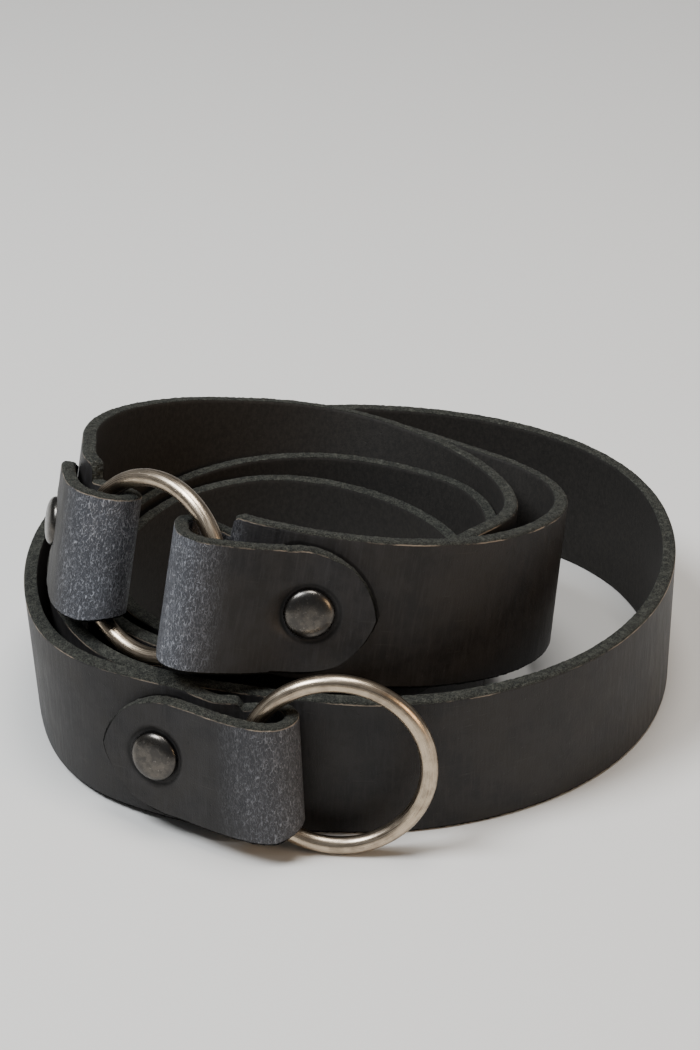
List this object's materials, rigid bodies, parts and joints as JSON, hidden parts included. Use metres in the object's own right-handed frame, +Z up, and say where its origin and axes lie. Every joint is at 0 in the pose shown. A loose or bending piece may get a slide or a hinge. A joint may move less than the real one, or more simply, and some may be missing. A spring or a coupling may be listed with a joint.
{
  "type": "ring belt",
  "caption": "Leather belt with metal rings held in folded, riveted tabs, loosely coiled and resting on its edge.",
  "frame": {"origin": "middle of the coil's footprint, on the surface that the belt rests on", "axes": "+Z up, the straps' edges stand along it; -Y is the side with the end ring, which faces the camera in the picture; +X is right in the picture"},
  "size_m": [0.144, 0.1432, 0.0697],
  "materials": {
    "leather": "charcoal, waxed, satin, crackled at the folds",
    "ring_metal": "antique nickel, brushed and waxed",
    "rivet_metal": "dark antique nickel, worn"
  },
  "bodies": {
    "root": {"front_strap": "leather", "tail_strap": "leather", "end_ring": "ring_metal", "middle_ring": "ring_metal", "end_rivet": "rivet_metal", "middle_rivet_front": "rivet_metal", "middle_rivet_side": "rivet_metal"}
  },
  "joints": []
}
